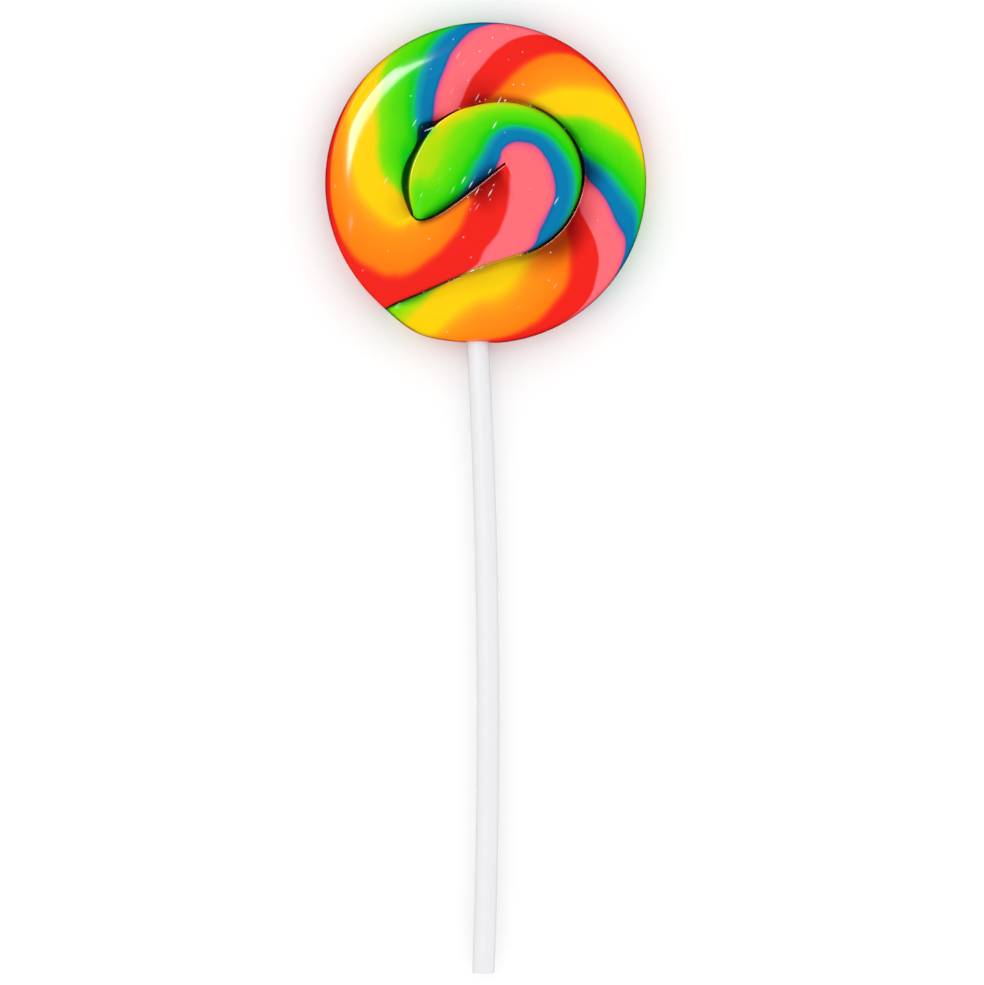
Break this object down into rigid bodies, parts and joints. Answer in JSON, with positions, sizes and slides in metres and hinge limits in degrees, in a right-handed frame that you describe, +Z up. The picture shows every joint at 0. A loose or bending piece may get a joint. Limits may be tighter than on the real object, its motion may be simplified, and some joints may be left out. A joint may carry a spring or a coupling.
{
  "type": "swirl lollipop",
  "caption": "Swirl lollipop: a thick rainbow-striped rope of hard candy coiled flat into a round disc on a thin, straight white paper stick.",
  "frame": {"origin": "centre of the bounding box's bottom face, on the surface that the lollipop lies on", "axes": "+Z up, out of the swirl's shown face; +Y along the stick from its free end to the candy; +X to the right with the swirl seen from above and the stick pointing down"},
  "size_m": [0.0698, 0.2068, 0.0095],
  "materials": {
    "hard_candy": "high-gloss boiled sugar in six soft-edged twisted stripes: green, blue, pink, red, orange and yellow",
    "paper_stick": "smooth white rolled paper, satin"
  },
  "bodies": {
    "root": {"candy": "hard_candy", "stick": "paper_stick"}
  },
  "joints": []
}
